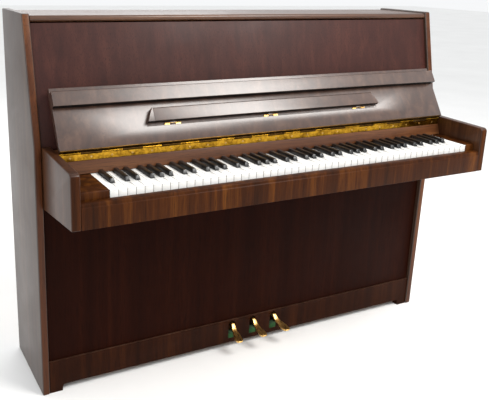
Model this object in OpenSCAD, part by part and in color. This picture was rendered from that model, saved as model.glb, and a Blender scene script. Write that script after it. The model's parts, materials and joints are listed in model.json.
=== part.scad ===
// Upright piano with a folding-lip fallboard, three pedals and 88 keys.
// Millimetres. X runs from bass to treble, Y from the player to the back, Z up from the floor.
// Depths are written from the front corner of the cheeks (y = 0) and moved once, by placed(),
// so that the finished part stands centred on its own footprint.

/* [Case] */
// Width over both sides
case_w = 1430; // [1425:5:1440]
// Height of the sides
case_h = 1095; // [1090:5:1100]
// Thickness of each side
side_t = 21; // [20:1:24]
// Depth from the front corner of a side to its back edge
rear_y = 309; // [308:1:320]
// How far the top of the side's front edge leans back
lean_y = 75; // [70:1:80]
// Height of the corner where the leaning front edge starts
corner_z = 758; // [755:1:760]
// Set-back of the side's foot behind that corner
toe_y = 8; // [0:1:12]
// Thickness of the top lid
lid_t = 17; // [16:1:18]
// Thickness of the upper and lower panels
panel_t = 18; // [16:1:18]

/* [Keyboard] */
// Reach of the arms and key slip in front of the cheeks
reach = 254; // [252:1:256]
// Thickness of each arm
arm_t = 24.5; // [24:0.5:25]
// Pitch of the white keys
white_pitch = 23.5; // [23.4:0.1:23.5]
// Distance of the keyboard's middle to the right of the case's middle
key_shift = 24; // [20:1:26]
// Height of the white keys' tops
key_z = 690; // [689:1:691]
// Height of a black key above the white ones
black_h = 11; // [10:0.5:11]
// Travel at the front of a key
key_dip = 10; // [9:0.5:10]

/* [Fallboard] */
// Angle that the open fallboard leans back from upright
board_lean = 32; // [31:1:33]
// Length of the fallboard from its hinge to its top
board_l = 175; // [173:1:175]
// Thickness of the fallboard and of its lip
board_t = 18; // [17:1:18]
// Height of the folding lip
lip_h = 42; // [40:1:42]
// Width of the fallboard
board_w = 1334; // [1330:1:1334]

/* [Pedals] */
// Distance between pedals where they leave the case
pedal_pitch = 81; // [78:1:84]
// Reach of a pedal in front of the cheeks
pedal_reach = 58; // [54:1:62]

/* [Hidden] */
$fn = 48;
e = 0.5;
front_y = -reach;
mid_y = (rear_y + front_y) / 2;
in_x = case_w / 2 - side_t;
arm_x = in_x - arm_t;
lean = atan(lean_y / (case_h - corner_z));
lid_z = case_h - 5 - lid_t;

// Keyboard
octave_w = 7 * white_pitch;
keys_w = 52 * white_pitch;
keys_x = key_shift - keys_w / 2;
key_gap = 0.55;
key_h = 22;
key_front = -226;
key_rear = 150;
head_l = 51;
sharp_front = key_front + head_l;
nameboard_y = -82;
slot_w = 13.7;
balance_y = -8;
key_low = key_z - key_h;
bed_z = 605;
bed_t = 35;
bed_top = bed_z + bed_t;
slip_z = 672;
block_z = 692;
block_y = -227;
stick_w = 11.8;

// Fallboard: p(s, o) is the point s up the board and o in front of its inner face
foot_y = -80;
foot_z = 758.7;
pin_s = -3.4;
pin_r = 1.5;
knuckle_r = 3;
function p(s, o) = [foot_y + s * sin(board_lean) - o * cos(board_lean),
                    foot_z + s * cos(board_lean) + o * sin(board_lean)];
hinge_at = p(pin_s, -board_t);
lip_s = board_l - 15;
lip_at = p(lip_s, 0);
ledge_s = 53;
ledge_o = 2.5;
ledge_at = p(ledge_s, ledge_o);
ledge_top = 96;
ledge_x = -10;
ledge_half = 405;

// Strung back
post_y = 242;
bass_y = 203;
string_y = 206.4;
plate_y = 210;
plate_t = 10;
board_y = 224;
sound_t = 8;
bridge_y = 207.2;
strut_w = 24;
strut_x = [-300, 60, 400];

// Pedal work
rail_y = 13;
rail_t = 24;
rail_z = 102;
rail_low = 20.5;
foot_w = 40;
pedal_pivot_y = [81, 105, 171];
pedal_pivot_z = 86;
pedal_splay = [-6, 5, 15];
lever_w = 14;
rod_r = 5;

// ---------- helpers ----------

module placed() { translate([0, -mid_y, 0]) children(); }

// A box from its low corner to its high corner.
module block(lo, hi) { translate(lo) cube(hi - lo); }

// A profile drawn in Y and Z, run along X from x0 to x1.
module along_x(x0, x1) {
    translate([x0, 0, 0]) rotate([90, 0, 90]) linear_extrude(x1 - x0) children();
}

// A round bar along X with its axis at [y, z].
module bar_x(at, r, x0, x1) { translate([x0, at[0], at[1]]) rotate([0, 90, 0]) cylinder(r = r, h = x1 - x0); }

// A profile drawn in the fallboard's own plane, run along X: s up the board, then depth behind its face.
module on_board(x0, x1) {
    along_x(x0, x1) translate([foot_y, foot_z]) rotate(90 - board_lean) mirror([0, 1]) children();
}

// ---------- case ----------

module side_profile() {
    polygon([[rear_y, 0], [toe_y, 0], [0, corner_z], [lean_y, case_h], [rear_y, case_h]]);
}

module left_side() { color("#5a3a28") along_x(-case_w / 2, -in_x) side_profile(); }

module right_side() { color("#5a3a28") along_x(in_x, case_w / 2) side_profile(); }

lid_rear = rear_y - 10;
lid_pin = [lid_rear + 4, case_h - 8];
lid_hinge_x = [-480, 0, 480];
lid_hinge_w = 60;

module top_lid() {
    r = lid_t / 2;
    color("#5f4030") {
        bar_x([lean_y + r, lid_z + r], r, -in_x + 1, in_x - 1);
        block([-in_x + 1, lean_y + r, lid_z], [in_x - 1, lid_rear, lid_z + lid_t]);
    }
}

// One knuckle of a hinge, on the pin axis.
module knuckle(at, x0, x1, r = knuckle_r) {
    difference() {
        bar_x(at, r, x0, x1);
        bar_x(at, pin_r + 0.05, x0 - 1, x1 + 1);
    }
}

module lid_leaf() {
    r = 2.4;
    a = lid_hinge_w / 6 - 0.3;
    color("gold") for (x = lid_hinge_x) difference() {
        union() {
            bar_x(lid_pin, r, x - a, x + a);
            block([x - a, lid_rear, lid_z + 1], [x + a, lid_rear + 2.4, lid_pin[1] + 0.8]);
        }
        bar_x(lid_pin, pin_r + 0.05, x - 30, x + 30);
    }
}

module lid_hinge() {
    r = 2.4;
    color("gold") for (x = lid_hinge_x) {
        bar_x(lid_pin, pin_r, x - lid_hinge_w / 2, x + lid_hinge_w / 2);
        for (s = [-1, 1]) {
            a = x + s * lid_hinge_w / 3 - lid_hinge_w / 6;
            difference() {
                union() {
                    bar_x(lid_pin, r, a, a + lid_hinge_w / 3);
                    block([a, lid_pin[0], lid_z - 32], [a + lid_hinge_w / 3, lid_pin[0] + 1.6, lid_pin[1]]);
                }
                bar_x(lid_pin, pin_r - 0.01, a - 1, a + lid_hinge_w / 3 + 1);
            }
        }
    }
}

function panel_front(z) = (z - corner_z) * tan(lean) + 10 / cos(lean);

module upper_panel() {
    low = 743;
    high = lid_z - 3;
    t = panel_t / cos(lean);
    color("#4a2a26") along_x(-in_x + 0.5, in_x - 0.5)
        polygon([[panel_front(low), low], [panel_front(high), high],
                 [panel_front(high) + t, high], [panel_front(low) + t, low]]);
}

module lower_panel() {
    color("#2c1712") block([-in_x + 0.5, rail_y + 6, rail_z + 0.5],
                           [in_x - 0.5, rail_y + 6 + panel_t, bed_z - 1]);
}

// The slot that a pedal passes through: round at the top and open to the back.
module pedal_slot(x) {
    w = 26;
    hull() {
        translate([x, rail_y - 1, 84]) rotate([-90, 0, 0]) cylinder(d = w, h = rail_t + 2);
        translate([x - w / 2, rail_y - 1, 36]) cube([w, rail_t + 2, 10]);
    }
}

pedal_x = [-pedal_pitch + 3, 3, pedal_pitch + 3];

module bottom_rail() {
    color("#3a1c0e") difference() {
        block([-in_x + 0.2, rail_y, 0], [in_x - 0.2, rail_y + rail_t, rail_z]);
        block([-in_x + foot_w + 9, rail_y - 1, -1], [in_x - foot_w - 9, rail_y + rail_t + 1, rail_low]);
        block([-in_x + foot_w, rail_y - 1, -1], [in_x - foot_w, rail_y + rail_t + 1, rail_low - 9]);
        for (s = [-1, 1]) translate([s * (in_x - foot_w - 9), rail_y - 1, rail_low - 9])
            rotate([-90, 0, 0]) cylinder(r = 9, h = rail_t + 2);
        for (x = pedal_x) pedal_slot(x);
    }
}

module bottom_board() {
    color("#6b4a30") {
        block([-in_x + 0.2, rail_y + rail_t, 22], [in_x - 0.2, post_y - 0.2, 44]);
        for (k = [0:2]) for (s = [-1, 1]) difference() {
            translate([pedal_x[k] + s * 14 - 5, pedal_pivot_y[k] - 12, 44]) cube([10, 24, 54]);
            bar_x([pedal_pivot_y[k], pedal_pivot_z], 3.05, pedal_x[k] - 30, pedal_x[k] + 30);
        }
        for (w = [[90, 98], [114, 122], [138, 178], [194, 202]])
            block([lever_pivot_x - 10, w[0], 44], [lever_pivot_x + 10, w[1], lever_z + lever_w + 4]);
        translate([lever_pivot_x, 90, lever_z + 10]) rotate([-90, 0, 0]) cylinder(r = 4, h = 112);
    }
}

post_xs = [-640, -330, 0, 330, 640];

module back_frame() {
    color("#a98556") {
        block([-in_x + 0.2, post_y, 60], [in_x - 0.2, rear_y, 140]);
        block([-in_x + 0.2, post_y, 985], [in_x - 0.2, lid_pin[0], lid_z - 2]);
        for (x = post_xs) block([x - 40, post_y, 140], [x + 40, rear_y, 985]);
        block([-in_x + 0.2, board_y + sound_t, 60], [in_x - 0.2, post_y, 128]);
        for (s = [-1, 1])
            block([s * (in_x - 16) - 15.5, board_y + sound_t, 128], [s * (in_x - 16) + 15.5, post_y, 950]);
    }
}

// ---------- strung back ----------

module soundboard() {
    color("#d9b982") block([-in_x + 0.5, board_y, 64], [in_x - 0.5, board_y + sound_t, 948]);
}

module ribs() {
    color("#cfae78") for (i = [0:8]) {
        z = 190 + i * 85;
        intersection() {
            translate([0, board_y + sound_t, z]) rotate([0, -18, 0]) translate([-900, 0, -9]) cube([1800, 9.6, 18]);
            block([-in_x + 34, board_y, 130], [in_x - 34, post_y, 946]);
        }
    }
}

// Height of the long bridge across the treble.
function bridge_z(x) = 330 + 440 * pow((x + 560) / 1180, 1.5);

module bridge_part(points, w) {
    for (i = [0:len(points) - 2]) {
        a = points[i];
        b = points[i + 1];
        hull() for (q = [a, b])
            translate([q[0], bridge_y, q[1]]) rotate([-90, 0, 0]) cylinder(d = w, h = board_y - bridge_y, $fn = 24);
    }
}

module bridges() {
    long = [for (i = [0:5]) let (x = -540 + i * 228) [x, bridge_z(x)]];
    color("#b98a54") difference() {
        union() {
            bridge_part(long, 34);
            bridge_part([[-600, 205], [-330, 262]], 34);
        }
        for (x = strut_x) block([x - strut_w / 2 - 2, 0, 0], [x + strut_w / 2 + 2, rear_y, case_h]);
    }
}

module iron_plate() {
    edge = 30;
    low = 80;
    high = 1060;
    color("#b08d3c") difference() {
        block([-in_x + 6, plate_y, low], [in_x - 6, plate_y + plate_t, high]);
        for (w = [[-in_x + 6 + edge, strut_x[0] - strut_w / 2], [strut_x[0] + strut_w / 2, strut_x[1] - strut_w / 2],
                  [strut_x[1] + strut_w / 2, strut_x[2] - strut_w / 2], [strut_x[2] + strut_w / 2, in_x - 6 - edge]])
            block([w[0], plate_y - 1, 150], [w[1], plate_y + plate_t + 1, 925]);
    }
}

module pinblock() {
    color("#8a6238") block([-in_x + 8, plate_y + plate_t, 955], [in_x - 8, post_y - 0.2, 1058]);
}

bass_n = 26;
treble_n = 62;
function bass_x(i) = -590 + i * 10.6;
function treble_x(i) = -285 + i * 15.2;

module tuning_pins() {
    r = 3.4;
    color("silver") {
        for (i = [0:bass_n - 1])
            translate([bass_x(i), 188, 985 + 14 * (i % 4)]) rotate([-90, 0, 0]) cylinder(r = r, h = plate_y - 188, $fn = 16);
        for (i = [0:treble_n - 1]) for (j = [0:2])
            translate([treble_x(i) + 2, 188, 975 + 22 * j + 5 * (i % 3)])
                rotate([-90, 0, 0]) cylinder(r = r, h = plate_y - 188, $fn = 16);
    }
}

// A wire from one [x, z] to another in the plane y.
module wire(a, b, r, y) {
    d = b - a;
    translate([a[0], y, a[1]]) rotate([0, atan2(d[0], d[1]), 0]) cylinder(r = r, h = norm(d), $fn = 13);
}

module bass_strings() {
    color("#b8733a") for (i = [0:bass_n - 1])
        wire([bass_x(i) + 150 - i * 2, 130 + i * 3], [bass_x(i), 950], 2.2 - i * 0.045, bass_y);
}

module treble_strings() {
    color("#d0d4d8") for (i = [0:treble_n - 1]) for (j = [0:2])
        let (x = treble_x(i) + 2.6 * (j - 1))
            wire([x - 60 + i * 0.8, max(135, bridge_z(x) - 120)], [x, 950], 0.55, string_y);
}

// ---------- keyboard ----------

rod_x = [-612, -636, -660];

module key_bed() {
    color("#7a5636") difference() {
        block([-arm_x + 0.2, -229.8, bed_z], [arm_x - 0.2, 196, bed_top]);
        block([-arm_x - 1, 90, bed_z - 1], [keys_x - 16, 197, bed_top + 1]);
    }
}

module key_frame() {
    x0 = keys_x;
    x1 = keys_x + keys_w;
    color("#c9a874") {
        block([x0, -222, bed_top], [x1, -150, bed_top + 14]);
        block([x0, balance_y - 18, bed_top], [x1, balance_y + 18, bed_top + 23]);
        block([x0, 112, bed_top], [x1, 150, bed_top + 23]);
        for (x = [x0, (x0 + x1) / 2 - 20, x1 - 40])
            block([x, -150, bed_top], [x + 40, 112, bed_top + 12]);
    }
}

// Order of the naturals from A0, and where a black key follows each one.
function white_index(i) = (i + 5) % 7;
function has_sharp(w) = w != 2 && w != 6;
tail_cde = (3 * white_pitch - 2 * slot_w) / 3;
tail_fgab = (4 * white_pitch - 3 * slot_w) / 4;
// Middle of the black key that follows natural w (C is 0), from the left edge of its C.
function sharp_x(w) = w < 3 ? (w + 1) * tail_cde + (w + 0.5) * slot_w
                            : 3 * white_pitch + (w - 2) * tail_fgab + (w - 2.5) * slot_w;
function c_x(i) = keys_x + (i - white_index(i)) * white_pitch;
function sharp_at(i) = c_x(i) + sharp_x(white_index(i));

// The slots under a key for its balance pin and its front pin, and the groove that rocks on the balance rail.
module pin_slots(x, front) {
    bar_x([balance_y, key_low - 0.4], 1.5, x - 12, x + 12);
    translate([x - 2.3, balance_y - 5, key_low - 1]) cube([4.6, 10, key_h - 3]);
    translate([x - 2.1, front - 5, key_low - 1]) cube([4.2, 10, key_h - 2]);
}

function white_mid(i) = let (w = white_index(i), x = keys_x + i * white_pitch,
    l = i > 0 && has_sharp(white_index(i - 1)) ? sharp_at(i - 1) + slot_w / 2 : x,
    r = i < 51 && has_sharp(w) ? sharp_at(i) - slot_w / 2 : x + white_pitch) (l + r) / 2;

module white_key(i) {
    x = keys_x + i * white_pitch;
    difference() {
        block([x + key_gap, key_front, key_low], [x + white_pitch - key_gap, key_rear, key_z]);
        if (i > 0 && has_sharp(white_index(i - 1)))
            block([x - 5, sharp_front - 1, key_low - 1], [sharp_at(i - 1) + slot_w / 2, key_rear + 1, key_z + 1]);
        if (i < 51 && has_sharp(white_index(i)))
            block([sharp_at(i) - slot_w / 2, sharp_front - 1, key_low - 1],
                  [x + white_pitch + 5, key_rear + 1, key_z + 1]);
        pin_slots(white_mid(i), -205);
    }
}

module black_key(i) {
    x = sharp_at(i);
    low = 5.9;
    top = 4.8;
    color("#17171a") difference() {
        union() {
            block([x - stick_w / 2, sharp_front + 6, key_low], [x + stick_w / 2, key_rear, key_z - 2]);
            along_x(x - top, x + top)
                polygon([[sharp_front + 0.5, key_z - 3], [sharp_front + 7, key_z + black_h],
                         [nameboard_y, key_z + black_h], [nameboard_y, key_z - 3]]);
            for (s = [-1, 1])
                along_x(x + s * (low + top) / 2 - (low - top) / 2, x + s * (low + top) / 2 + (low - top) / 2)
                    polygon([[sharp_front, key_z - 3], [sharp_front + 6.5, key_z + black_h - 2],
                             [nameboard_y, key_z + black_h - 2], [nameboard_y, key_z - 3]]);
        }
        pin_slots(x, -160);
    }
}

middle_first = 23;
module white_keys(a, b) { color("#f6f5ef") for (i = [a:b]) white_key(i); }
module black_keys(a, b) { for (i = [a:b]) if (i < 51 && has_sharp(white_index(i))) black_key(i); }

module key_pins() {
    color("silver") for (i = [0:51]) {
        translate([white_mid(i), balance_y, bed_top + 23]) cylinder(r = 2, h = 17, $fn = 16);
        translate([white_mid(i), -205, bed_top + 14]) cylinder(r = 1.8, h = 21, $fn = 16);
        if (i < 51 && has_sharp(white_index(i))) {
            translate([sharp_at(i), balance_y, bed_top + 23]) cylinder(r = 2, h = 17, $fn = 16);
            translate([sharp_at(i), -160, bed_top + 14]) cylinder(r = 1.8, h = 21, $fn = 16);
        }
    }
}

// Felt under the keys, at the pedals and on the rests of the open fallboard.
module felt_pads() {
    color("#2f7a3a") {
        difference() {
            union() {
                block([keys_x, -215, bed_top + 14], [keys_x + keys_w, -195, bed_top + 17]);
                block([keys_x, -170, bed_top + 14], [keys_x + keys_w, -152, bed_top + 17]);
                block([keys_x, balance_y - 5, bed_top + 23], [keys_x + keys_w, balance_y + 5, bed_top + 27.6]);
            }
            for (i = [0:51]) {
                translate([white_mid(i), balance_y, bed_top]) cylinder(r = 2.6, h = 40, $fn = 16);
                translate([white_mid(i), -205, bed_top]) cylinder(r = 2.6, h = 40, $fn = 16);
                if (i < 51 && has_sharp(white_index(i))) {
                    translate([sharp_at(i), balance_y, bed_top]) cylinder(r = 2.6, h = 40, $fn = 16);
                    translate([sharp_at(i), -160, bed_top]) cylinder(r = 2.6, h = 40, $fn = 16);
                }
            }
        }
        block([keys_x, 115, bed_top + 23], [keys_x + keys_w, 148, bed_top + 27.6]);
        for (x = pedal_x) block([x - 13, rail_y + 1, 36], [x + 13, rail_y + rail_t - 1, 52]);
        for (x = [-500, 500]) along_x(x - 12, x + 12) {
            low = 868;
            high = 884;
            polygon([[panel_front(low), low], [panel_front(high), high],
                     [foot_y + (high - foot_z) * tan(board_lean) + board_t / cos(board_lean) + 0.4, high],
                     [foot_y + (low - foot_z) * tan(board_lean) + board_t / cos(board_lean) + 0.4, low]]);
        }
    }
}

module arm_profile() {
    r = 12;
    top = corner_z - 5;
    drop = 5;
    polygon([[5, top], [front_y + r, top - drop],
             for (a = [75:-15:15]) [front_y + r - r * cos(a), top - drop - r + r * sin(a)],
             [front_y, top - drop - r], [front_y, bed_z], [5, bed_z - 27]]);
}

module left_arm() { color("#4a2c1a") along_x(-in_x, -arm_x) arm_profile(); }

module right_arm() { color("#4a2c1a") along_x(arm_x, in_x) arm_profile(); }

module key_blocks() {
    color("#4d2f1c") for (w = [[-arm_x + 0.2, keys_x - 0.8], [keys_x + keys_w + 0.8, arm_x - 0.2]])
        along_x(w[0], w[1])
            polygon([[block_y, bed_top], [block_y, block_z - 5], [block_y + 1.5, block_z - 1.5],
                     [block_y + 5, block_z], [nameboard_y + 1, block_z], [nameboard_y + 1, bed_top]]);
}

module key_slip() {
    color("#56340f") along_x(-arm_x + 0.2, arm_x - 0.2)
        polygon([[front_y, bed_z], [front_y, slip_z - 12], [front_y + 2.5, slip_z - 10], [front_y + 2.5, slip_z - 5],
                 [front_y + 4, slip_z - 1.5], [front_y + 8, slip_z], [-230, slip_z], [-230, bed_z]]);
}

rail_front = hinge_at[0] + 0.8;

module hinge_rail() {
    color("#6e4b33") along_x(-arm_x + 0.2, arm_x - 0.2)
        polygon([[nameboard_y + 4, key_z + 2], [rail_front - 1.5, 725], [rail_front, 725.5],
                 [rail_front, 742], [30, 742], [30, 722], [-34, 722], [-34, key_z + 2]]);
}

// ---------- fallboard ----------

hinge_pitch = 58;
hinge_n = 23;

// Every second knuckle, starting with the first or the second.
module knuckles(first) {
    for (i = [first:2:hinge_n - 1]) {
        x = -board_w / 2 + i * hinge_pitch;
        knuckle(hinge_at, x + 0.3, x + hinge_pitch - 0.3);
    }
}

module fallboard_hinge() {
    color("gold") {
        bar_x(hinge_at, pin_r, -board_w / 2, -board_w / 2 + hinge_n * hinge_pitch);
        difference() {
            union() {
                for (i = [0:2:hinge_n - 1]) {
                    x = -board_w / 2 + i * hinge_pitch + 0.3;
                    bar_x(hinge_at, knuckle_r, x, x + hinge_pitch - 0.6);
                    block([x, rail_front - 1.5, 740], [x + hinge_pitch - 0.6, rail_front, hinge_at[1]]);
                }
                block([-board_w / 2, rail_front - 1.5, 726.5], [board_w / 2, rail_front, 742.4]);
            }
            bar_x(hinge_at, pin_r - 0.01, -board_w, board_w);
        }
    }
}

module fallboard_leaf() {
    color("gold") {
        difference() {
            union() {
                knuckles(1);
                for (i = [1:2:hinge_n - 1]) {
                    x = -board_w / 2 + i * hinge_pitch + 0.3;
                    on_board(x, x + hinge_pitch - 0.6) polygon([[pin_s, board_t], [0.2, board_t], [0.2, board_t - 1.5], [pin_s, board_t - 1.5]]);
                }
            }
            bar_x(hinge_at, pin_r + 0.05, -board_w, board_w);
        }
        on_board(-board_w / 2, board_w / 2) polygon([[0, 1], [1.5, 1], [1.5, board_t], [0, board_t]]);
    }
}

module fallboard() {
    color("#8c7a75") difference() {
        on_board(-board_w / 2, board_w / 2)
            polygon([[1.5, 0], [board_l - 1, 0], [board_l, 1], [board_l, board_t], [1.5, board_t]]);
        on_board(ledge_x - ledge_half, ledge_x + ledge_half)
            polygon([[ledge_s - 5, -1], [ledge_s + 5, -1], [ledge_s + 5, 1.2], [ledge_s - 5, 1.2]]);
        bar_x(lip_at, 1.62, -board_w, board_w);
    }
}

lip_gap = 0.4;

// The lip stops against the strip of board above its hinge, so its top edge stands a little below it.
module fallboard_lip() {
    top = lip_s - 0.5;
    color("#84706a") difference() {
        on_board(-board_w / 2, board_w / 2)
            polygon([[lip_s - lip_h, -lip_gap], [top, -lip_gap], [top, -board_t + 2], [top - 2, -board_t],
                     [lip_s - lip_h + 1, -board_t], [lip_s - lip_h, -board_t + 1]]);
        bar_x(lip_at, 1.65, -board_w, board_w);
    }
}

module ledge_body() {
    taper = 20;
    on_board(ledge_x - ledge_half + taper, ledge_x + ledge_half - taper)
        polygon([[ledge_s + 4, -ledge_o], [ledge_s + 4, -board_t + 1], [ledge_s + 5, -board_t],
                 [ledge_top - 3, -board_t], [ledge_top, -board_t + 3], [ledge_top, -ledge_o]]);
    for (s = [-1, 1])
        translate([ledge_x + s * (ledge_half - taper), foot_y, foot_z]) rotate([-board_lean, 0, 0])
            translate([0, -ledge_o, 0]) rotate([90, 0, 0]) linear_extrude(board_t - ledge_o - 1)
                polygon([[0, ledge_s + 4], [s * taper, ledge_s + 4], [s * 3, ledge_top], [0, ledge_top]]);
}

ledge_hinge_x = [-338, -14, 321];
lip_hinge_x = [-600, -300, 0, 300, 600];

module music_ledge() {
    color("#8c7a75") ledge_body();
    color("gold") for (x = ledge_hinge_x) {
        difference() {
            on_board(x - 9, x + 9) polygon([[ledge_s, -ledge_o + 0.8], [ledge_s + 7, -ledge_o + 0.8],
                                            [ledge_s + 7, -ledge_o - 1.2], [ledge_s, -ledge_o - 1.2]]);
            bar_x(ledge_at, 1.2, x - 30, x + 30);
        }
    }
}

module board_hinges() {
    color("gold") {
        for (x = ledge_hinge_x) {
            bar_x(ledge_at, 1.1, x - 24, x + 24);
            for (s = [-1, 1])
                on_board(x + s * 17 - 7.5, x + s * 17 + 7.5)
                    polygon([[ledge_s - 4, 0], [ledge_s + 1, 0], [ledge_s + 1, -ledge_o], [ledge_s - 1, -ledge_o],
                             [ledge_s - 1.5, -1.2], [ledge_s - 4, -1.2]]);
        }
        for (x = lip_hinge_x) bar_x(lip_at, 1.6, x - 30, x + 30);
    }
}

// ---------- action ----------

function note_x(n) = keys_x + 8 + n * (keys_w - 16) / 87;

bracket_x = [[-602, -594], [note_x(26) + 5.3, note_x(26) + 8.5],
             [note_x(57) + 5.3, note_x(57) + 8.5], [641, 649]];

module action_frame() {
    color("#9a8f7d") {
        for (w = bracket_x) difference() {
            along_x(w[0], w[1])
                polygon([[156, bed_top], [190, bed_top], [190, 700], [180, 735], [180, 800], [150, 800],
                         [146, 730], [156, 715]]);
            block([w[0] - 1, 160, 734.5], [w[1] + 1, 172, 744]);
        }
        block([-600, 148, 768], [647, 178, 800]);
        block([-600, 150, 716], [647, 176, 734]);
    }
}

module wippens() {
    color("#d8bd8e") for (n = [0:87]) {
        x = note_x(n);
        block([x - 3.5, 92, 700], [x + 3.5, 149, 709]);
        block([x - 3, 104, 709], [x + 3, 111, 764]);
        bar_x([148, 704.5], 1.5, x - 4.8, x + 4.8);
    }
}

hammer_pivot = [140, 776];

module hammers() {
    for (n = [0:87]) {
        x = note_x(n);
        w = 11 - n * 0.03;
        color("#d8bd8e") {
            block([x - 4, 124, 768], [x + 4, 145, 792]);
            bar_x(hammer_pivot, 1.5, x - 5.4, x + 5.4);
            translate([x, 134, 790]) rotate([4, 0, 0]) cylinder(r = 2.8, h = 118, $fn = 13);
        }
        color("#f0ead8") along_x(x - w / 2, x + w / 2)
            polygon([[118, 903], [118, 925], [134, 930], [146, 927], [155, 920], [158, 914], [155, 908], [146, 902], [134, 899]]);
    }
}

module hammer_rail() {
    color("#b58f5b") {
        block([-618, 110, 850], [661, 124, 872]);
        for (w = [[-618, -606], [653, 661]]) difference() {
            along_x(w[0], w[1])
                polygon([[99, 776], [112, 776], [126, 768], [146, 768], [146, 782], [128, 800], [124, 851],
                         [110, 851], [110, 800], [99, 786]]);
            bar_x(hammer_pivot, 2, w[0] - 1, w[1] + 1);
        }
    }
}

damper_n = 66;
damper_pivot = [170, 746];

module dampers() {
    for (n = [0:damper_n - 1]) {
        x = note_x(n);
        color("#f0ead8") block([x - 4.5, 193, 830], [x + 4.5, n < 26 ? 200.4 : 205.4, 860]);
        color("#c9a874") block([x - 4, 184, 834], [x + 4, 193, 856]);
        color("silver") translate([x, 188, 744]) cylinder(r = 1.3, h = 92, $fn = 13);
        color("#c9a874") block([x - 3.5, 164, 740], [x + 3.5, 191, 751]);
        color("silver") bar_x(damper_pivot, 1.5, x - 5, x + 5);
    }
    color("silver") {
        bar_x([166, 739], 3, -666, note_x(damper_n));
        block([-666, 163, 736], [-654, 192, 742]);
    }
}

module muffler_rail() {
    color("#b58f5b") {
        block([-650, 182, 950], [650, 188, 962]);
        block([-642, 124, 950], [-630, 183, 962]);
    }
    color("#d9d2c0") block([-600, 184.5, 932], [640, 187, 950]);
}

// ---------- pedal work ----------

lever_y = [106, 130, 186];
lever_z = 104;
lever_pivot_x = 640;

module pedal(k) {
    x = pedal_x[k];
    tip = x + pedal_splay[k];
    knee = x + pedal_splay[k] * 0.25;
    neck = 5.5;
    color("#d4af37") {
        hull() {
            translate([tip, -pedal_reach + 13, 55]) cylinder(r = 13, h = 6, $fn = 32);
            translate([knee - 8, -8, 67]) cube([16, 5, 8]);
        }
        hull() {
            translate([knee - 8, -8, 67]) cube([16, 5, 8]);
            translate([x - neck, 6, 80]) cube([2 * neck, 6, 12]);
        }
        block([x - neck, 10, 80], [x + neck, lever_y[k] + 5, 92]);
        block([x - neck, lever_y[k] - 5, 90], [x + neck, lever_y[k] + 5, lever_z - 0.5]);
        bar_x([pedal_pivot_y[k], pedal_pivot_z], 3, x - 19, x + 19);
    }
}

module lever(k) {
    color("#a87f4d") difference() {
        block([rod_x[k] - 12, lever_y[k] - lever_w / 2, lever_z],
              [lever_pivot_x + 20, lever_y[k] + lever_w / 2, lever_z + 20]);
        translate([lever_pivot_x, lever_y[k] - lever_w, lever_z + 10]) rotate([-90, 0, 0])
            cylinder(r = 4.05, h = 2 * lever_w);
    }
}

module rod(k) {
    top = [774.6, 900, 732.9][k];
    color("#c9a874") translate([rod_x[k], lever_y[k], lever_z + 20.4])
        cylinder(r = rod_r, h = top - lever_z - 20.4);
}

placed() left_side();
placed() right_side();
placed() top_lid();
placed() lid_leaf();
placed() lid_hinge();
placed() upper_panel();
placed() lower_panel();
placed() bottom_rail();
placed() bottom_board();
placed() back_frame();
placed() soundboard();
placed() ribs();
placed() bridges();
placed() iron_plate();
placed() pinblock();
placed() tuning_pins();
placed() bass_strings();
placed() treble_strings();
placed() key_bed();
placed() key_frame();
placed() key_pins();
placed() felt_pads();
placed() left_arm();
placed() right_arm();
placed() key_blocks();
placed() key_slip();
placed() hinge_rail();
placed() fallboard_hinge();
placed() fallboard_leaf();
placed() fallboard();
placed() fallboard_lip();
placed() music_ledge();
placed() board_hinges();
placed() action_frame();
placed() wippens();
placed() hammers();
placed() hammer_rail();
placed() dampers();
placed() muffler_rail();
placed() pedal(0);  // left_pedal
placed() pedal(1);  // middle_pedal
placed() pedal(2);  // right_pedal
placed() lever(0);  // left_lever
placed() lever(1);  // middle_lever
placed() lever(2);  // right_lever
placed() rod(0);  // left_rod
placed() rod(1);  // middle_rod
placed() rod(2);  // right_rod
placed() white_keys(0, middle_first - 1);  // bass_white_keys
placed() black_keys(0, middle_first - 1);  // bass_black_keys
placed() white_keys(middle_first + 7, 51);  // treble_white_keys
placed() black_keys(middle_first + 7, 51);  // treble_black_keys
placed() black_keys(middle_first, middle_first + 6);  // middle_black_keys
placed() white_keys(middle_first, middle_first);  // key_c4
placed() white_keys(middle_first + 1, middle_first + 1);  // key_d4
placed() white_keys(middle_first + 2, middle_first + 2);  // key_e4
placed() white_keys(middle_first + 3, middle_first + 3);  // key_f4
placed() white_keys(middle_first + 4, middle_first + 4);  // key_g4
placed() white_keys(middle_first + 5, middle_first + 5);  // key_a4
placed() white_keys(middle_first + 6, middle_first + 6);  // key_b4
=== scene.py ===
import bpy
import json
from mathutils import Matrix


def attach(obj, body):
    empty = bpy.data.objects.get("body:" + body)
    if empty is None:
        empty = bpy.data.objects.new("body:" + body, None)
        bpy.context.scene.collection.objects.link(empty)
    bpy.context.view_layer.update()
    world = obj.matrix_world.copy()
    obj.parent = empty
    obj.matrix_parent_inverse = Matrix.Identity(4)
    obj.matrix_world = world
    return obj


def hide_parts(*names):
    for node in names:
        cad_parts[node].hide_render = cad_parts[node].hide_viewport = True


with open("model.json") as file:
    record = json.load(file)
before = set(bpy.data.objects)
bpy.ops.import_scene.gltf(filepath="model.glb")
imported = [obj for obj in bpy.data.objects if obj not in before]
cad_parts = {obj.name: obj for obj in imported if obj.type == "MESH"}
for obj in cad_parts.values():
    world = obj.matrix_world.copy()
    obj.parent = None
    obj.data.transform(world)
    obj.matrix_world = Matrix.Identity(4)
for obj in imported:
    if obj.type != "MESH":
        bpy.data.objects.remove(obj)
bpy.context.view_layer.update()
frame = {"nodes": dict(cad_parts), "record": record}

import json
import logging
import math
from dataclasses import dataclass, field
from enum import Enum

import bmesh
import bpy
from mathutils import Matrix, Vector

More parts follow.
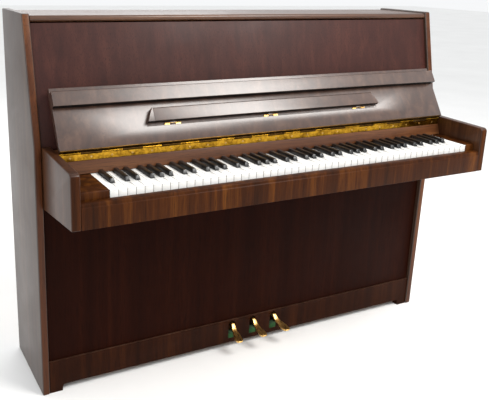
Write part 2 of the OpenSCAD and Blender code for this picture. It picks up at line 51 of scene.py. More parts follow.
log = logging.getLogger("piano")

Colour = tuple[float, float, float]
Point = tuple[float, float, float]

MM = 0.001
DEPTH_SHIFT = 27.5
SMOOTH_ANGLE = math.radians(40)
WHITE: Colour = (255, 255, 255)


def at(x: float, y: float, z: float) -> Vector:
    """Turns workshop millimetres, measured from the front corner of the cheeks, into metres in the frame.

    Args:
        x: Distance to the right of the middle.
        y: Distance behind the front corner of the cheeks.
        z: Height above the floor.

    Returns:
        The place in the shared frame.
    """
    return Vector((x * MM, (y - DEPTH_SHIFT) * MM, z * MM))


def linear(colour: Colour) -> tuple[float, float, float, float]:
    """Turns a colour given as 0 to 255 paint values into a linear shader colour.

    Args:
        colour: Red, green and blue, 0 to 255.

    Returns:
        The linear colour with full alpha.
    """
    def one(v: float) -> float:
        """Undoes the display curve of one channel."""
        v /= 255
        return v / 12.92 if v <= 0.04045 else ((v + 0.055) / 1.055) ** 2.4
    return (one(colour[0]), one(colour[1]), one(colour[2]), 1.0)


class Grain(Enum):
    """The way that a board's grain runs."""

    UPRIGHT = (38.0, 38.0, 1.3)
    ALONG = (1.3, 38.0, 38.0)
    DEEP = (38.0, 1.3, 38.0)


class Palette:
    """Builds the node tree of one material.

    Args:
        name: The finish's name.
    """

    def __init__(self, name: str) -> None:
        """Makes the material and keeps its principled shader."""
        self.material = bpy.data.materials.new(name)
        self.material.use_nodes = True
        self.tree = self.material.node_tree
        self.shader = self.tree.nodes["Principled BSDF"]
        self.coords = self.tree.nodes.new("ShaderNodeTexCoord")

    def node(self, kind: str, **inputs: object) -> bpy.types.Node:
        """Adds a node and sets its unlinked inputs.

        Args:
            kind: The node's type name.
            inputs: Input values or sockets, by the input's name with underscores.

        Returns:
            The new node.
        """
        n = self.tree.nodes.new(kind)
        for key, value in inputs.items():
            socket = n.inputs[key.replace("_", " ")]
            if isinstance(value, bpy.types.NodeSocket):
                self.tree.links.new(value, socket)
            else:
                socket.default_value = value
        return n

    def noise(self, stretch: Point, detail: float = 4.0, distort: float = 0.0) -> bpy.types.NodeSocket:
        """Adds a noise pattern that lies in the object's own space.

        Args:
            stretch: How many times the pattern repeats in a metre, along each axis.
            detail: Number of finer layers.
            distort: How wavy the pattern is.

        Returns:
            The pattern's value, 0 to 1.
        """
        place = self.node("ShaderNodeMapping", Vector=self.coords.outputs["Object"], Scale=stretch)
        n = self.node("ShaderNodeTexNoise", Vector=place.outputs["Vector"], Scale=1.0, Detail=detail,
                      Roughness=0.6, Distortion=distort)
        return n.outputs["Fac"]

    def ramp(self, value: bpy.types.NodeSocket, stops: list[tuple[float, Colour]]) -> bpy.types.NodeSocket:
        """Turns a value into a colour through colour stops given as paint values."""
        n = self.tree.nodes.new("ShaderNodeValToRGB")
        self.tree.links.new(value, n.inputs["Fac"])
        ramp = n.color_ramp
        while len(ramp.elements) < len(stops):
            ramp.elements.new(0.5)
        for element, (place, colour) in zip(ramp.elements, stops):
            element.position = place
            element.color = linear(colour)
        return n.outputs["Color"]

    def span(self, value: bpy.types.NodeSocket, low: float, high: float) -> bpy.types.NodeSocket:
        """Maps the middle of a noise value to the range from low to high."""
        n = self.node("ShaderNodeMapRange", Value=value)
        n.inputs["From Min"].default_value = 0.3
        n.inputs["From Max"].default_value = 0.7
        n.inputs["To Min"].default_value = low
        n.inputs["To Max"].default_value = high
        return n.outputs["Result"]

    def blend(self, share: bpy.types.NodeSocket, a: bpy.types.NodeSocket, b: bpy.types.NodeSocket,
              mode: str = "MIX") -> bpy.types.NodeSocket:
        """Mixes two colours by a share, with one of the usual blend modes."""
        n = self.tree.nodes.new("ShaderNodeMix")
        n.data_type = "RGBA"
        n.blend_type = mode
        self.tree.links.new(share, n.inputs["Factor"])
        self.tree.links.new(a, n.inputs["A"])
        self.tree.links.new(b, n.inputs["B"])
        return n.outputs["Result"]

    def bump(self, height: bpy.types.NodeSocket, strength: float, distance: float) -> None:
        """Raises the surface by a height pattern."""
        n = self.node("ShaderNodeBump", Height=height, Strength=strength, Distance=distance)
        self.tree.links.new(n.outputs["Normal"], self.shader.inputs["Normal"])

    def feed(self, **inputs: object) -> None:
        """Sets or links the principled shader's inputs by name."""
        for key, value in inputs.items():
            socket = self.shader.inputs[key.replace("_", " ")]
            if isinstance(value, bpy.types.NodeSocket):
                self.tree.links.new(value, socket)
            else:
                socket.default_value = value


@dataclass(frozen=True)
class Lacquer:
    """Lacquered veneer: a broad figure, a fine grain and dark pores under a glossy coat."""

    name: str
    dark: Colour
    mid: Colour
    light: Colour
    grain: Grain = Grain.UPRIGHT
    roughness: float = 0.34
    coat: float = 0.35
    coat_roughness: float = 0.16
    specular: float = 0.45

    def material(self) -> bpy.types.Material:
        """Builds the veneer's material."""
        p = Palette(self.name)
        fine = self.grain.value
        broad = tuple(v * 0.22 for v in fine)
        pores = tuple(v * 16 if v > 10 else v * 14 for v in fine)
        figure = p.noise(broad, 3.0, 1.4)
        streaks = p.noise(fine, 6.0, 0.5)
        pore = p.noise(pores, 2.0)
        base = p.ramp(streaks, [(0.25, self.dark), (0.5, self.mid), (0.78, self.light)])
        shade = p.ramp(figure, [(0.3, (196, 190, 186)), (0.7, WHITE)])
        colour = p.blend(p.span(figure, 0.55, 1.0), base, shade, "MULTIPLY")
        dots = p.ramp(pore, [(0.34, (120, 104, 96)), (0.46, WHITE)])
        colour = p.blend(p.span(streaks, 0.35, 0.8), colour, dots, "MULTIPLY")
        smear = p.noise((5.0, 5.0, 5.0), 5.0, 0.6)
        p.feed(Base_Color=colour, Roughness=p.span(smear, self.roughness - 0.05, self.roughness + 0.07),
               Coat_Weight=self.coat, Coat_Roughness=self.coat_roughness, Specular_IOR_Level=self.specular)
        peel = p.noise((420.0, 420.0, 420.0), 2.0)
        height = p.node("ShaderNodeMath", Value=streaks)
        height.operation = "ADD"
        p.tree.links.new(peel, height.inputs[1])
        p.bump(height.outputs[0], 0.12, 0.0006)
        return p.material


@dataclass(frozen=True)
class BareWood:
    """Planed wood with no lacquer, for what stands inside and behind the case."""

    name: str
    dark: Colour
    light: Colour
    grain: Grain = Grain.UPRIGHT

    def material(self) -> bpy.types.Material:
        """Builds the bare wood's material."""
        p = Palette(self.name)
        streaks = p.noise(self.grain.value, 7.0, 0.9)
        broad = p.noise(tuple(v * 0.2 for v in self.grain.value), 2.0, 1.5)
        base = p.ramp(streaks, [(0.3, self.dark), (0.72, self.light)])
        shade = p.ramp(broad, [(0.3, (205, 196, 180)), (0.7, WHITE)])
        p.feed(Base_Color=p.blend(p.span(broad, 0.4, 1.0), base, shade, "MULTIPLY"),
               Roughness=p.span(streaks, 0.55, 0.72))
        p.bump(streaks, 0.2, 0.0008)
        return p.material


@dataclass(frozen=True)
class Metal:
    """Brass, copper, iron paint or steel with a little tarnish and fine wear; on the brass the dark
    patches are also painted reflections.
    """

    name: str
    bright: Colour
    dull: Colour
    roughness: float = 0.2
    metallic: float = 1.0
    scale: float = 60.0

    def material(self) -> bpy.types.Material:
        """Builds the metal's material."""
        p = Palette(self.name)
        cloud = p.noise((self.scale,) * 3, 5.0, 0.8)
        wear = p.noise((self.scale * 9, self.scale * 1.2, self.scale * 9), 3.0)
        tone = p.ramp(cloud, [(0.32, self.dull), (0.6, self.bright)])
        scuff = p.ramp(wear, [(0.3, (225, 221, 214)), (0.62, WHITE)])
        p.feed(Base_Color=p.blend(p.span(cloud, 0.5, 1.0), tone, scuff, "MULTIPLY"),
               Metallic=self.metallic, Roughness=p.span(wear, self.roughness * 0.75, self.roughness * 1.4))
        p.bump(wear, 0.04, 0.0003)
        return p.material


@dataclass(frozen=True)
class Felt:
    """Pressed wool: a cloudy colour, a fibrous bump and a soft sheen."""

    name: str
    dark: Colour
    light: Colour

    def material(self) -> bpy.types.Material:
        """Builds the felt's material."""
        p = Palette(self.name)
        cloud = p.noise((180.0, 180.0, 180.0), 5.0, 1.0)
        fibre = p.noise((1500.0, 1500.0, 900.0), 3.0, 2.0)
        tone = p.ramp(cloud, [(0.3, self.dark), (0.7, self.light)])
        lint = p.ramp(fibre, [(0.3, (190, 190, 186)), (0.7, WHITE)])
        p.feed(Base_Color=p.blend(p.span(fibre, 0.4, 1.0), tone, lint, "MULTIPLY"), Roughness=0.95,
               Sheen_Weight=0.35, Sheen_Roughness=0.5, Specular_IOR_Level=0.15)
        p.bump(fibre, 0.45, 0.0005)
        return p.material


@dataclass(frozen=True)
class KeyPlastic:
    """The hard covering of the keys, faintly uneven and polished by use."""

    name: str
    deep: Colour
    face: Colour
    roughness: float = 0.18
    coat: float = 0.25

    def material(self) -> bpy.types.Material:
        """Builds the covering's material."""
        p = Palette(self.name)
        cloud = p.noise((30.0, 9.0, 30.0), 4.0, 0.4)
        touch = p.noise((130.0, 60.0, 130.0), 4.0, 0.6)
        p.feed(Base_Color=p.ramp(cloud, [(0.3, self.deep), (0.65, self.face)]),
               Roughness=p.span(touch, self.roughness * 0.8, self.roughness * 1.5),
               Coat_Weight=self.coat, Coat_Roughness=0.12)
        p.bump(touch, 0.03, 0.0002)
        return p.material


class Finishes:
    """Every finish of the piano, made once and handed out by name."""

    def __init__(self) -> None:
        """Builds all the materials."""
        recipes = [
            Lacquer("cheek_veneer", (44, 27, 17), (64, 43, 30), (88, 65, 48), roughness=0.45, coat=0.22,
                    coat_roughness=0.3),
            Lacquer("edge_veneer", (54, 24, 6), (84, 43, 15), (120, 72, 34), roughness=0.42, specular=0.2,
                    coat=0.06),
            Lacquer("lid_veneer", (52, 28, 16), (80, 48, 28), (112, 74, 46), Grain.ALONG, 0.4, coat=0.2),
            Lacquer("upper_veneer", (48, 18, 13), (60, 26, 19), (74, 37, 27), roughness=0.5, coat=0.03,
                    specular=0.22),
            Lacquer("lower_veneer", (28, 7, 2), (35, 10, 3), (44, 16, 5), roughness=0.55, specular=0.04,
                    coat=0.0),
            Lacquer("rail_veneer", (27, 8, 1), (42, 16, 3), (60, 28, 7), roughness=0.5, specular=0.06,
                    coat=0.02),
            Lacquer("slip_veneer", (30, 11, 1), (64, 30, 5), (108, 62, 18), roughness=0.5, specular=0.08,
                    coat=0.02),
            Lacquer("arm_veneer", (40, 18, 6), (66, 36, 16), (98, 62, 36), roughness=0.4, specular=0.25,
                    coat=0.12),
            Lacquer("board_veneer", (48, 27, 17), (72, 46, 33), (100, 72, 55), roughness=0.34, coat=1.0,
                    coat_roughness=0.3),
            Lacquer("shadow_veneer", (10, 6, 5), (16, 10, 8), (24, 15, 12), roughness=0.5, specular=0.1,
                    coat=0.02),
            Lacquer("nameboard_veneer", (60, 30, 13), (92, 54, 28), (128, 84, 50), Grain.ALONG, 0.38,
                    specular=0.25, coat=0.15),
            BareWood("beech", (150, 112, 70), (196, 158, 110)),
            BareWood("beech_along", (146, 108, 66), (192, 152, 104), Grain.ALONG),
            BareWood("spruce", (196, 160, 104), (224, 192, 138), Grain.ALONG),
            BareWood("lime", (196, 164, 116), (222, 196, 152), Grain.DEEP),
            # The brass's dark dull patches are partly tarnish and partly painted reflections of the black
            # keys.
            Metal("brass", (206, 156, 46), (112, 76, 18), 0.16, 1.0, 60.0),
            # Dark brass for the lid's hinge; on the fallboard's moving leaf it is painted shade along the
            # dark line under the board.
            Metal("dark_brass", (96, 70, 34), (58, 40, 20), 0.35, 1.0, 40.0),
            Metal("bronze", (226, 188, 120), (190, 148, 84), 0.27, 1.0, 12.0),
            Metal("steel", (206, 208, 212), (150, 152, 158), 0.24),
            Metal("copper_wound", (190, 112, 62), (132, 70, 38), 0.34),
            Metal("bronze_paint", (176, 138, 62), (140, 104, 44), 0.42, 0.75, 25.0),
            Felt("green_felt", (4, 52, 8), (14, 84, 18)),
            Felt("white_felt", (206, 200, 182), (236, 231, 214)),
            # Key sides: real wood, made darker than bare lime as painted shade in the gaps between the
            # white keys.
            BareWood("key_side_wood_and_gap_shade", (70, 52, 36), (112, 86, 60), Grain.DEEP),
            KeyPlastic("key_white", (244, 243, 239), (253, 252, 249)),
            KeyPlastic("key_black", (8, 8, 9), (17, 17, 19), 0.3, 0.05),
        ]
        self.made = {recipe.name: recipe.material() for recipe in recipes}

    def __getitem__(self, name: str) -> bpy.types.Material:
        """Gives the finish of that name."""
        return self.made[name]

    def face(self, piece: bpy.types.Object, name: str, way: Vector, spread: float = 0.85) -> None:
        """Gives a second finish to the faces that look one way.

        Args:
            piece: The object to finish.
            name: The second finish's name.
            way: The direction that the faces look in.
            spread: How closely they follow it, 1 being exactly.
        """
        piece.data.materials.append(self.made[name])
        index = len(piece.data.materials) - 1
        for polygon in piece.data.polygons:
            if polygon.normal.dot(way) > spread:
                polygon.material_index = index

    def dress(self, piece: bpy.types.Object, name: str) -> None:
        """Gives a whole piece one finish.

        Args:
            piece: The object to finish.
            name: The finish's name.
        """
        if not piece.material_slots:
            piece.data.materials.append(self.made[name])
        for s in piece.material_slots:
            s.material = self.made[name]


def alone(piece: bpy.types.Object) -> None:
    """Selects one object and makes it the active one."""
    if bpy.context.mode != "OBJECT":
        bpy.ops.object.mode_set(mode="OBJECT")
    bpy.ops.object.select_all(action="DESELECT")
    piece.hide_set(False)
    piece.select_set(True)
    bpy.context.view_layer.objects.active = piece


def body_of(node: str) -> str:
    """Gives the name of the body that a CAD node belongs to."""
    groups = frame["record"]["behaviour"]["bodies"]
    return next(body for body, nodes in groups.items() if node in nodes)


def copied(node: str, name: str) -> bpy.types.Object:
    """Copies a CAD node's solid as clean flat faces, ready to be worked on.

    Args:
        node: The CAD node.
        name: The new piece's name.

    Returns:
        The copy, merged and free of the mesh's own triangles.
    """
    source = frame["nodes"][node]
    piece = bpy.data.objects.new(name, source.data.copy())
    bpy.context.scene.collection.objects.link(piece)
    piece.data.materials.clear()
    alone(piece)
    bpy.ops.object.mode_set(mode="EDIT")
    bpy.ops.mesh.select_all(action="SELECT")
    bpy.ops.mesh.remove_doubles(threshold=0.00002)
    bpy.ops.mesh.customdata_custom_splitnormals_clear()
    bpy.ops.mesh.dissolve_limited(angle_limit=math.radians(0.6))
    bpy.ops.object.mode_set(mode="OBJECT")
    return piece


def eased(piece: bpy.types.Object, radius: float, segments: int = 3, angle: float = 28.0) -> None:
    """Rounds a piece's edges and smooths its faces.

    Args:
        piece: The piece to work on.
        radius: The rounding's width in millimetres.
        segments: Number of faces across the rounding.
        angle: Only edges sharper than this are rounded.
    """
    alone(piece)
    bevel = piece.modifiers.new("eased", "BEVEL")
    bevel.width = radius * MM
    bevel.segments = segments
    bevel.limit_method = "ANGLE"
    bevel.angle_limit = math.radians(angle)
    bevel.harden_normals = False
    bpy.ops.object.modifier_apply(modifier=bevel.name)
    bpy.ops.object.shade_smooth_by_angle(angle=SMOOTH_ANGLE)


def applied() -> None:
    """Puts the selected object's place, turn and size into its mesh."""
    bpy.ops.object.transform_apply(location=True, rotation=True, scale=True)


def joined(pieces: list[bpy.types.Object], onto: bpy.types.Object) -> None:
    """Joins pieces into one of them.

    Args:
        pieces: All the pieces, in the order that they are selected.
        onto: The one that keeps its name.
    """
    bpy.ops.object.select_all(action="DESELECT")
    for piece in pieces:
        piece.select_set(True)
    bpy.context.view_layer.objects.active = onto
    bpy.ops.object.join()


def settle(piece: bpy.types.Object, body: str, finish: str, finishes: Finishes) -> None:
    """Places a finished piece: its place goes into its mesh, and it rides on its body.

    Args:
        piece: The finished piece.
        body: The body it moves with.
        finish: The finish's name.
        finishes: All the finishes.
    """
    alone(piece)
    applied()
    finishes.dress(piece, finish)
    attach(piece, body)
    log.info("%s: %d faces on %s", piece.name, len(piece.data.polygons), body)


@dataclass
class Board:
    """One board of the case whose edges are eased by hand.

    Args:
        node: The CAD node it stands for.
        finish: Its veneer.
        slot: Its material slot in the record; not used.
        radius: Width of the eased edges in millimetres.
        segments: Number of faces across an eased edge.
        edge: A second veneer for the faces that look one way: a real veneer on some boards, a painted
            highlight or painted shadow on others.
        edge_way: The way that those faces look.
    """

    node: str
    finish: str
    slot: str
    radius: float = 1.5
    segments: int = 3
    edge: str = ""
    edge_way: Point = (0.0, -1.0, 0.0)

    def build(self, finishes: Finishes) -> None:
        """Builds the board and hides the plain solid behind it."""
        piece = copied(self.node, f"{self.node}_eased")
        eased(piece, self.radius, self.segments)
        settle(piece, body_of(self.node), self.finish, finishes)
        if self.edge:
            finishes.face(piece, self.edge, Vector(self.edge_way))
        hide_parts(self.node)


UNDER_BOARD: Point = (0.0, -0.53, -0.848)


@dataclass
class Casework:
    """The lacquered boards of the case, the arms and the fallboard."""

    boards: list[Board] = field(default_factory=lambda: [
        Board("left_side", "cheek_veneer", "case_wood", 4.0, 4, "edge_veneer"),
        Board("right_side", "cheek_veneer", "case_wood", 4.0, 4, "edge_veneer"),
        Board("top_lid", "lid_veneer", "case_wood", 1.6),
        Board("upper_panel", "upper_veneer", "panel_wood", 1.0),
        Board("lower_panel", "lower_veneer", "panel_wood", 1.0),
        # The bottom rail's upward faces take the lighter board veneer as a painted highlight along its top
        # edge.
        Board("bottom_rail", "rail_veneer", "rail_wood", 1.6, 3, "board_veneer", (0.0, 0.0, 1.0)),
        Board("left_arm", "arm_veneer", "case_wood", 3.0, 4, "slip_veneer"),
        Board("right_arm", "arm_veneer", "case_wood", 3.0, 4, "slip_veneer"),
        Board("key_blocks", "slip_veneer", "case_wood", 1.2),
        Board("key_slip", "slip_veneer", "case_wood", 1.4),
        Board("hinge_rail", "nameboard_veneer", "nameboard_wood", 1.0),
        Board("fallboard", "board_veneer", "board_wood", 1.4),
        Board("fallboard_lip", "board_veneer", "board_wood", 2.2, 4, "shadow_veneer", UNDER_BOARD),
        Board("music_ledge", "board_veneer", "board_wood", 1.6, 3, "shadow_veneer", UNDER_BOARD),
    ])

    def build(self, finishes: Finishes) -> None:
        """Builds every board."""
        for board in self.boards:
            board.build(finishes)


@dataclass
class Keyboard:
    """The white and black keys: eased edges, and a cover that stands proud of each white key's front.

    Args:
        front: Depth of the white keys' fronts.
        top: Height of the white keys' tops.
        cover: Thickness of a white key's cover.
        step: Height of the slope under the cover.
        set_back: How far the front under the cover stands back.
        whites: The nodes with white keys.
        blacks: The nodes with black keys.
    """

    front: float = -226.0
    top: float = 690.0
    cover: float = 2.3
    step: float = 0.35
    set_back: float = 0.8
    whites: list[str] = field(default_factory=lambda: [
        "bass_white_keys", "treble_white_keys", "key_c4", "key_d4", "key_e4", "key_f4", "key_g4", "key_a4",
        "key_b4"])
    blacks: list[str] = field(default_factory=lambda: [
        "bass_black_keys", "middle_black_keys", "treble_black_keys"])

    def undercut(self, piece: bpy.types.Object) -> None:
        """Cuts the thin step under the covers along the fronts of white keys."""
        alone(piece)
        bpy.ops.object.mode_set(mode="EDIT")
        for low in (self.cover, self.cover + self.step):
            bpy.ops.mesh.select_all(action="SELECT")
            bpy.ops.mesh.bisect(plane_co=at(0, self.front, self.top - low), plane_no=(0, 0, 1))
        bpy.ops.mesh.select_all(action="DESELECT")
        mesh = bmesh.from_edit_mesh(piece.data)
        edge = at(0, self.front + 0.1, self.top - self.cover - 0.2)
        for v in mesh.verts:
            v.select = v.co.y < edge.y and v.co.z < edge.z
        mesh.select_flush_mode()
        bmesh.update_edit_mesh(piece.data)
        bpy.ops.transform.translate(value=(0, self.set_back * MM, 0))
        bpy.ops.object.mode_set(mode="OBJECT")

    def build(self, finishes: Finishes) -> None:
        """Builds all the keys."""
        for node in self.whites:
            piece = copied(node, f"{node}_covered")
            self.undercut(piece)
            eased(piece, 0.6, 2, 60)
            settle(piece, body_of(node), "key_white", finishes)
            # The sides and undersides of the white keys are wood, darkened as painted shade in the gaps.
            for way in ((1, 0, 0), (-1, 0, 0), (0, 0, -1)):
                finishes.face(piece, "key_side_wood_and_gap_shade", Vector(way), 0.6)
            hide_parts(node)
        for node in self.blacks:
            piece = copied(node, f"{node}_rounded")
            eased(piece, 0.8, 2, 20)
            settle(piece, body_of(node), "key_black", finishes)
            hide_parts(node)


@dataclass(frozen=True)
class Station:
    """One cross-section of a pedal.

    Args:
        y: Its depth.
        z: Its height.
        width: Its width.
        thickness: Its thickness.
        turn: The share of the pedal's splay reached here.
    """

    y: float
    z: float
    width: float
    thickness: float
    turn: float


FOOT = (
    Station(12, 86.0, 11.0, 12.0, 0.0),
    Station(7, 85.6, 11.4, 11.6, 0.03),
    Station(1, 80.6, 13.2, 9.6, 0.12),
    Station(-5, 74.2, 15.6, 8.0, 0.25),
    Station(-14, 69.4, 18.8, 7.2, 0.42),
    Station(-27, 64.4, 23.2, 6.6, 0.68),
    Station(-38, 60.8, 26.2, 6.2, 0.88),
    Station(-47, 58.6, 26.4, 5.8, 0.97),
    Station(-53.5, 57.4, 21.6, 5.2, 1.0),
    Station(-57.4, 57.0, 11.4, 3.8, 1.0),
)


@dataclass
class Pedal:
    """One brass pedal: a narrow neck that drops steeply and spreads into a rounded foot.

    Args:
        name: left, middle or right.
        x: Where it leaves the case.
        splay: How far its tip turns aside.
        pivot: Depth of its pivot.
        rear: Depth of its back end.
        post_low: Height where the post under the lever starts.
        post_top: Height of the post's top.
        post_depth: Depth of the post, front to back.
        pin_radius: Radius of the pivot pin.
        pin_length: Length of the pivot pin.
    """

    name: str
    x: float
    splay: float
    pivot: float
    rear: float
    post_low: float = 88.0
    post_top: float = 103.5
    post_depth: float = 10.0
    pin_radius: float = 3.0
    pin_length: float = 38.0

    def block(self, y: float, z: float, depth: float, height: float) -> bpy.types.Object:
        """Adds a bar as wide as the neck, centred on the pedal.

        Args:
            y: Depth of its middle.
            z: Height of its middle.
            depth: Its size front to back.
            height: Its size up.

        Returns:
            The bar.
        """
        bpy.ops.object.select_all(action="DESELECT")
        bpy.ops.mesh.primitive_cube_add(size=1, location=at(self.x, y, z))
        bar = bpy.context.object
        bar.scale = (FOOT[0].width * MM, depth * MM, height * MM)
        applied()
        return bar

    def cast(self) -> bpy.types.Object:
        """Draws the foot out of the neck's front face, one station at a time."""
        neck = FOOT[0]
        length = self.rear - neck.y
        piece = self.block(neck.y + length / 2, neck.z, length, neck.thickness)
        piece.name = f"{self.name}_pedal_cast"
        bpy.ops.object.mode_set(mode="EDIT")
        bpy.ops.mesh.select_all(action="DESELECT")
        bpy.ops.mesh.select_mode(type="FACE")
        mesh = bmesh.from_edit_mesh(piece.data)
        mesh.normal_update()
        for f in mesh.faces:
            f.select_set(f.normal.y < -0.9)
        bmesh.update_edit_mesh(piece.data)
        for old, new in zip(FOOT, FOOT[1:]):
            here = at(self.x + self.splay * old.turn, old.y, old.z)
            there = at(self.x + self.splay * new.turn, new.y, new.z)
            bpy.ops.mesh.extrude_region_move(TRANSFORM_OT_translate={"value": there - here})
            bpy.ops.transform.resize(value=(new.width / old.width, 1, new.thickness / old.thickness),
                                     center_override=there)
        bpy.ops.object.mode_set(mode="OBJECT")
        eased(piece, 1.6, 3, 35)
        alone(piece)
        bpy.ops.object.mode_set(mode="EDIT")
        bpy.ops.mesh.select_all(action="SELECT")
        bpy.ops.mesh.normals_make_consistent(inside=False)
        bpy.ops.object.mode_set(mode="OBJECT")
        bpy.ops.object.shade_smooth_by_angle(angle=math.radians(50))
        return piece

    def pin(self) -> bpy.types.Object:
        """Adds the pin that the pedal turns on."""
        bpy.ops.object.select_all(action="DESELECT")
        bpy.ops.mesh.primitive_cylinder_add(vertices=32, radius=self.pin_radius * MM,
                                            depth=self.pin_length * MM,
                                            location=at(self.x, self.pivot, FOOT[0].z),
                                            rotation=(0, math.pi / 2, 0))
        pin = bpy.context.object
        applied()
        return pin

    def build(self, finishes: Finishes) -> None:
        """Builds the pedal with its pin and the post that lifts its lever."""
        piece = self.cast()
        pin = self.pin()
        post = self.block(self.rear - self.post_depth / 2, (self.post_low + self.post_top) / 2,
                          self.post_depth, self.post_top - self.post_low)
        for extra in (pin, post):
            eased(extra, 0.6, 2)
        joined([pin, post, piece], piece)
        settle(piece, f"{self.name}_pedal", "bronze", finishes)
        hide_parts(f"{self.name}_pedal")


@dataclass
class HingeScrews:
    """Countersunk screws along the fixed leaf of the fallboard's hinge.

    Args:
        count: Number of screws.
        first: Where the first one stands.
        last: Where the last one stands.
        face_y: Depth of the leaf's face.
        height: Height of the row.
        radius: Radius of a head.
        thickness: Thickness of a head.
        slot: Half the width of a head's slot, and the slot's depth.
    """

    count: int = 23
    first: float = -638.0
    last: float = 638.0
    face_y: float = -67.24
    height: float = 734.5
    radius: float = 2.7
    thickness: float = 0.7
    slot: float = 0.35

    def build(self, finishes: Finishes) -> None:
        """Models one screw head with its slot and copies it along the leaf."""
        bpy.ops.object.select_all(action="DESELECT")
        bpy.ops.mesh.primitive_cylinder_add(vertices=20, radius=self.radius * MM,
                                            depth=self.thickness * MM,
                                            location=at(0, self.face_y - 0.2, self.height),
                                            rotation=(math.pi / 2, 0, 0))
        screw = bpy.context.object
        applied()
        bpy.ops.object.mode_set(mode="EDIT")
        for side in (-self.slot, self.slot):
            bpy.ops.mesh.select_all(action="SELECT")
            bpy.ops.mesh.bisect(plane_co=at(side, self.face_y, self.height), plane_no=(1, 0, 0))
        bpy.ops.mesh.select_all(action="DESELECT")
        mesh = bmesh.from_edit_mesh(screw.data)
        for f in mesh.faces:
            middle = f.calc_center_median()
            f.select = f.normal.y < -0.9 and abs(middle.x) < 0.3 * MM
        bmesh.update_edit_mesh(screw.data)
        bpy.ops.mesh.extrude_region_move(TRANSFORM_OT_translate={"value": (0, self.slot * MM, 0)})
        bpy.ops.object.mode_set(mode="OBJECT")
        eased(screw, 0.12, 1)
        heads = [screw]
        step = (self.last - self.first) / (self.count - 1)
        for i in range(self.count - 1):
            twin = screw.copy()
            twin.data = screw.data.copy()
            bpy.context.scene.collection.objects.link(twin)
            twin.data.transform(Matrix.Translation(((self.first + i * step) * MM, 0, 0)))
            heads.append(twin)
        screw.data.transform(Matrix.Translation((self.last * MM, 0, 0)))
        joined(heads, screw)
        screw.name = "hinge_screws"
        settle(screw, "case", "bronze", finishes)


@dataclass
class Inside:
    """Finishes for the solids whose CAD shape is already right."""

    wood: tuple[str, ...] = ("back_frame", "bridges", "action_frame", "left_rod", "middle_rod",
                             "right_rod")
    along: tuple[str, ...] = ("bottom_board", "pinblock", "key_bed", "key_frame", "hammer_rail",
                              "muffler_rail", "left_lever", "middle_lever", "right_lever")
    others: dict[str, str] = field(default_factory=lambda: {
        "soundboard": "spruce", "ribs": "spruce", "wippens": "lime", "iron_plate": "bronze_paint",
        "tuning_pins": "steel", "treble_strings": "steel", "key_pins": "steel",
        "bass_strings": "copper_wound", "felt_pads": "green_felt", "hammers": "white_felt",
        "dampers": "white_felt", "lid_leaf": "dark_brass", "lid_hinge": "dark_brass",
        # The fallboard's moving leaf takes the dark brass as painted shade under the board's edge.
        "fallboard_hinge": "brass", "fallboard_leaf": "dark_brass", "board_hinges": "bronze"})

    def build(self, finishes: Finishes) -> None:
        """Dresses every kept solid."""
        plan = {**{n: "beech" for n in self.wood}, **{n: "beech_along" for n in self.along}, **self.others}
        for node, finish in plan.items():
            finishes.dress(frame["nodes"][node], finish)
            log.info("%s keeps its solid in %s", node, finish)


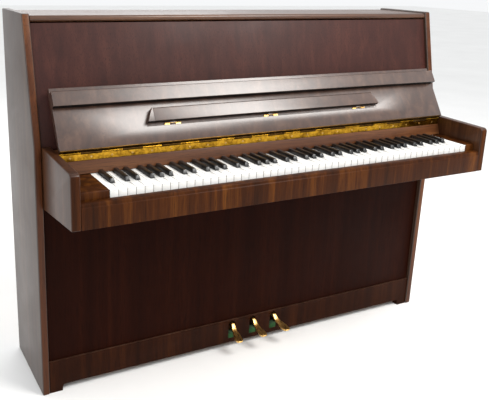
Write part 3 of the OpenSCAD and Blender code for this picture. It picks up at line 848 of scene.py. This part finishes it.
@dataclass
class Studio:
    """The pale floor, the soft lights and the camera.

    Args:
        eye: The camera's place in workshop millimetres.
        yaw: Turn to the right, in degrees.
        pitch: Tilt upwards, in degrees.
        roll: Roll, in degrees.
        lens: Focal length in millimetres.
        shift: Sideways and upright lens shift.
        sensor: Width of the sensor in millimetres.
        sky: The world's colour and its strength.
        floor_size: Side of the floor in metres.
    """

    eye: Point = (-1136.6, -1750.7, 1217.2)
    yaw: float = 27.99
    pitch: float = -15.82
    roll: float = 1.64
    lens: float = 50.6
    shift: tuple[float, float] = (0.082, -0.073)
    sensor: float = 36.0
    sky: tuple[tuple[float, float, float, float], float] = ((0.98, 0.99, 1.0, 1.0), 0.95)
    floor_size: float = 40.0

    def camera(self) -> None:
        """Places the camera."""
        yaw, pitch, roll = (math.radians(v) for v in (self.yaw, self.pitch, self.roll))
        ahead = Vector((math.sin(yaw) * math.cos(pitch), math.cos(yaw) * math.cos(pitch), math.sin(pitch)))
        right = Vector((math.cos(yaw), -math.sin(yaw), 0))
        up = right.cross(ahead)
        side = right * math.cos(roll) + up * math.sin(roll)
        head = up * math.cos(roll) - right * math.sin(roll)
        data = bpy.data.cameras.new("camera")
        data.lens = self.lens
        data.sensor_width = self.sensor
        data.shift_x, data.shift_y = self.shift
        data.clip_end = 50
        camera = bpy.data.objects.new("camera", data)
        bpy.context.scene.collection.objects.link(camera)
        camera.matrix_world = Matrix.Translation(at(*self.eye)) @ Matrix(
            (side, head, -ahead)).transposed().to_4x4()
        bpy.context.scene.camera = camera

    def lamp(self, name: str, place: Point, aim: Point, size: float, watts: float, warmth: Colour) -> None:
        """Adds one soft square light.

        Args:
            name: The light's name.
            place: Where it hangs, in metres.
            aim: The point it faces, in metres.
            size: Its side in metres.
            watts: Its power.
            warmth: Its colour.
        """
        data = bpy.data.lights.new(name, "AREA")
        data.size = size
        data.energy = watts
        data.color = warmth
        lamp = bpy.data.objects.new(name, data)
        bpy.context.scene.collection.objects.link(lamp)
        lamp.location = place
        lamp.rotation_euler = (Vector(aim) - Vector(place)).to_track_quat("-Z", "Y").to_euler()

    def build(self) -> None:
        """Sets up the floor, the lights and the world."""
        bpy.ops.object.select_all(action="DESELECT")
        bpy.ops.mesh.primitive_plane_add(size=self.floor_size, location=(0, 0, 0))
        floor = bpy.context.object
        floor.name = "floor"
        p = Palette("pale_floor")
        cloud = p.noise((1.5, 1.5, 1.5), 4.0)
        p.feed(Base_Color=p.ramp(cloud, [(0.3, (240, 240, 239)), (0.7, (246, 246, 245))]), Roughness=0.9,
               Specular_IOR_Level=0.1)
        floor.data.materials.append(p.material)
        self.lamp("key_light", (1.2, -1.9, 3.0), (0, 0, 0.7), 1.6, 110, (1.0, 0.98, 0.95))
        self.lamp("fill_light", (-2.8, -1.9, 2.4), (0, 0, 0.6), 2.4, 35, (0.95, 0.97, 1.0))
        self.lamp("back_light", (0.5, 3.0, 3.0), (0, 0, 0.8), 2.4, 45, (1.0, 1.0, 1.0))
        world = bpy.data.worlds.new("soft_room")
        world.use_nodes = True
        background = world.node_tree.nodes["Background"].inputs
        background["Color"].default_value, background["Strength"].default_value = self.sky
        bpy.context.scene.world = world
        bpy.context.scene.view_settings.view_transform = "Standard"


def main() -> None:
    """Builds the piano in order."""
    logging.basicConfig(level=logging.INFO, format="%(name)s: %(message)s")
    finishes = Finishes()
    Studio().camera()
    Casework().build(finishes)
    Keyboard().build(finishes)
    for pedal in (Pedal("left", -78, -6, 81, 111), Pedal("middle", 3, 5, 105, 135),
                  Pedal("right", 84, 15, 171, 191)):
        pedal.build(finishes)
    HingeScrews().build(finishes)
    Inside().build(finishes)
    Studio().build()


if __name__ == "__main__":
    main()
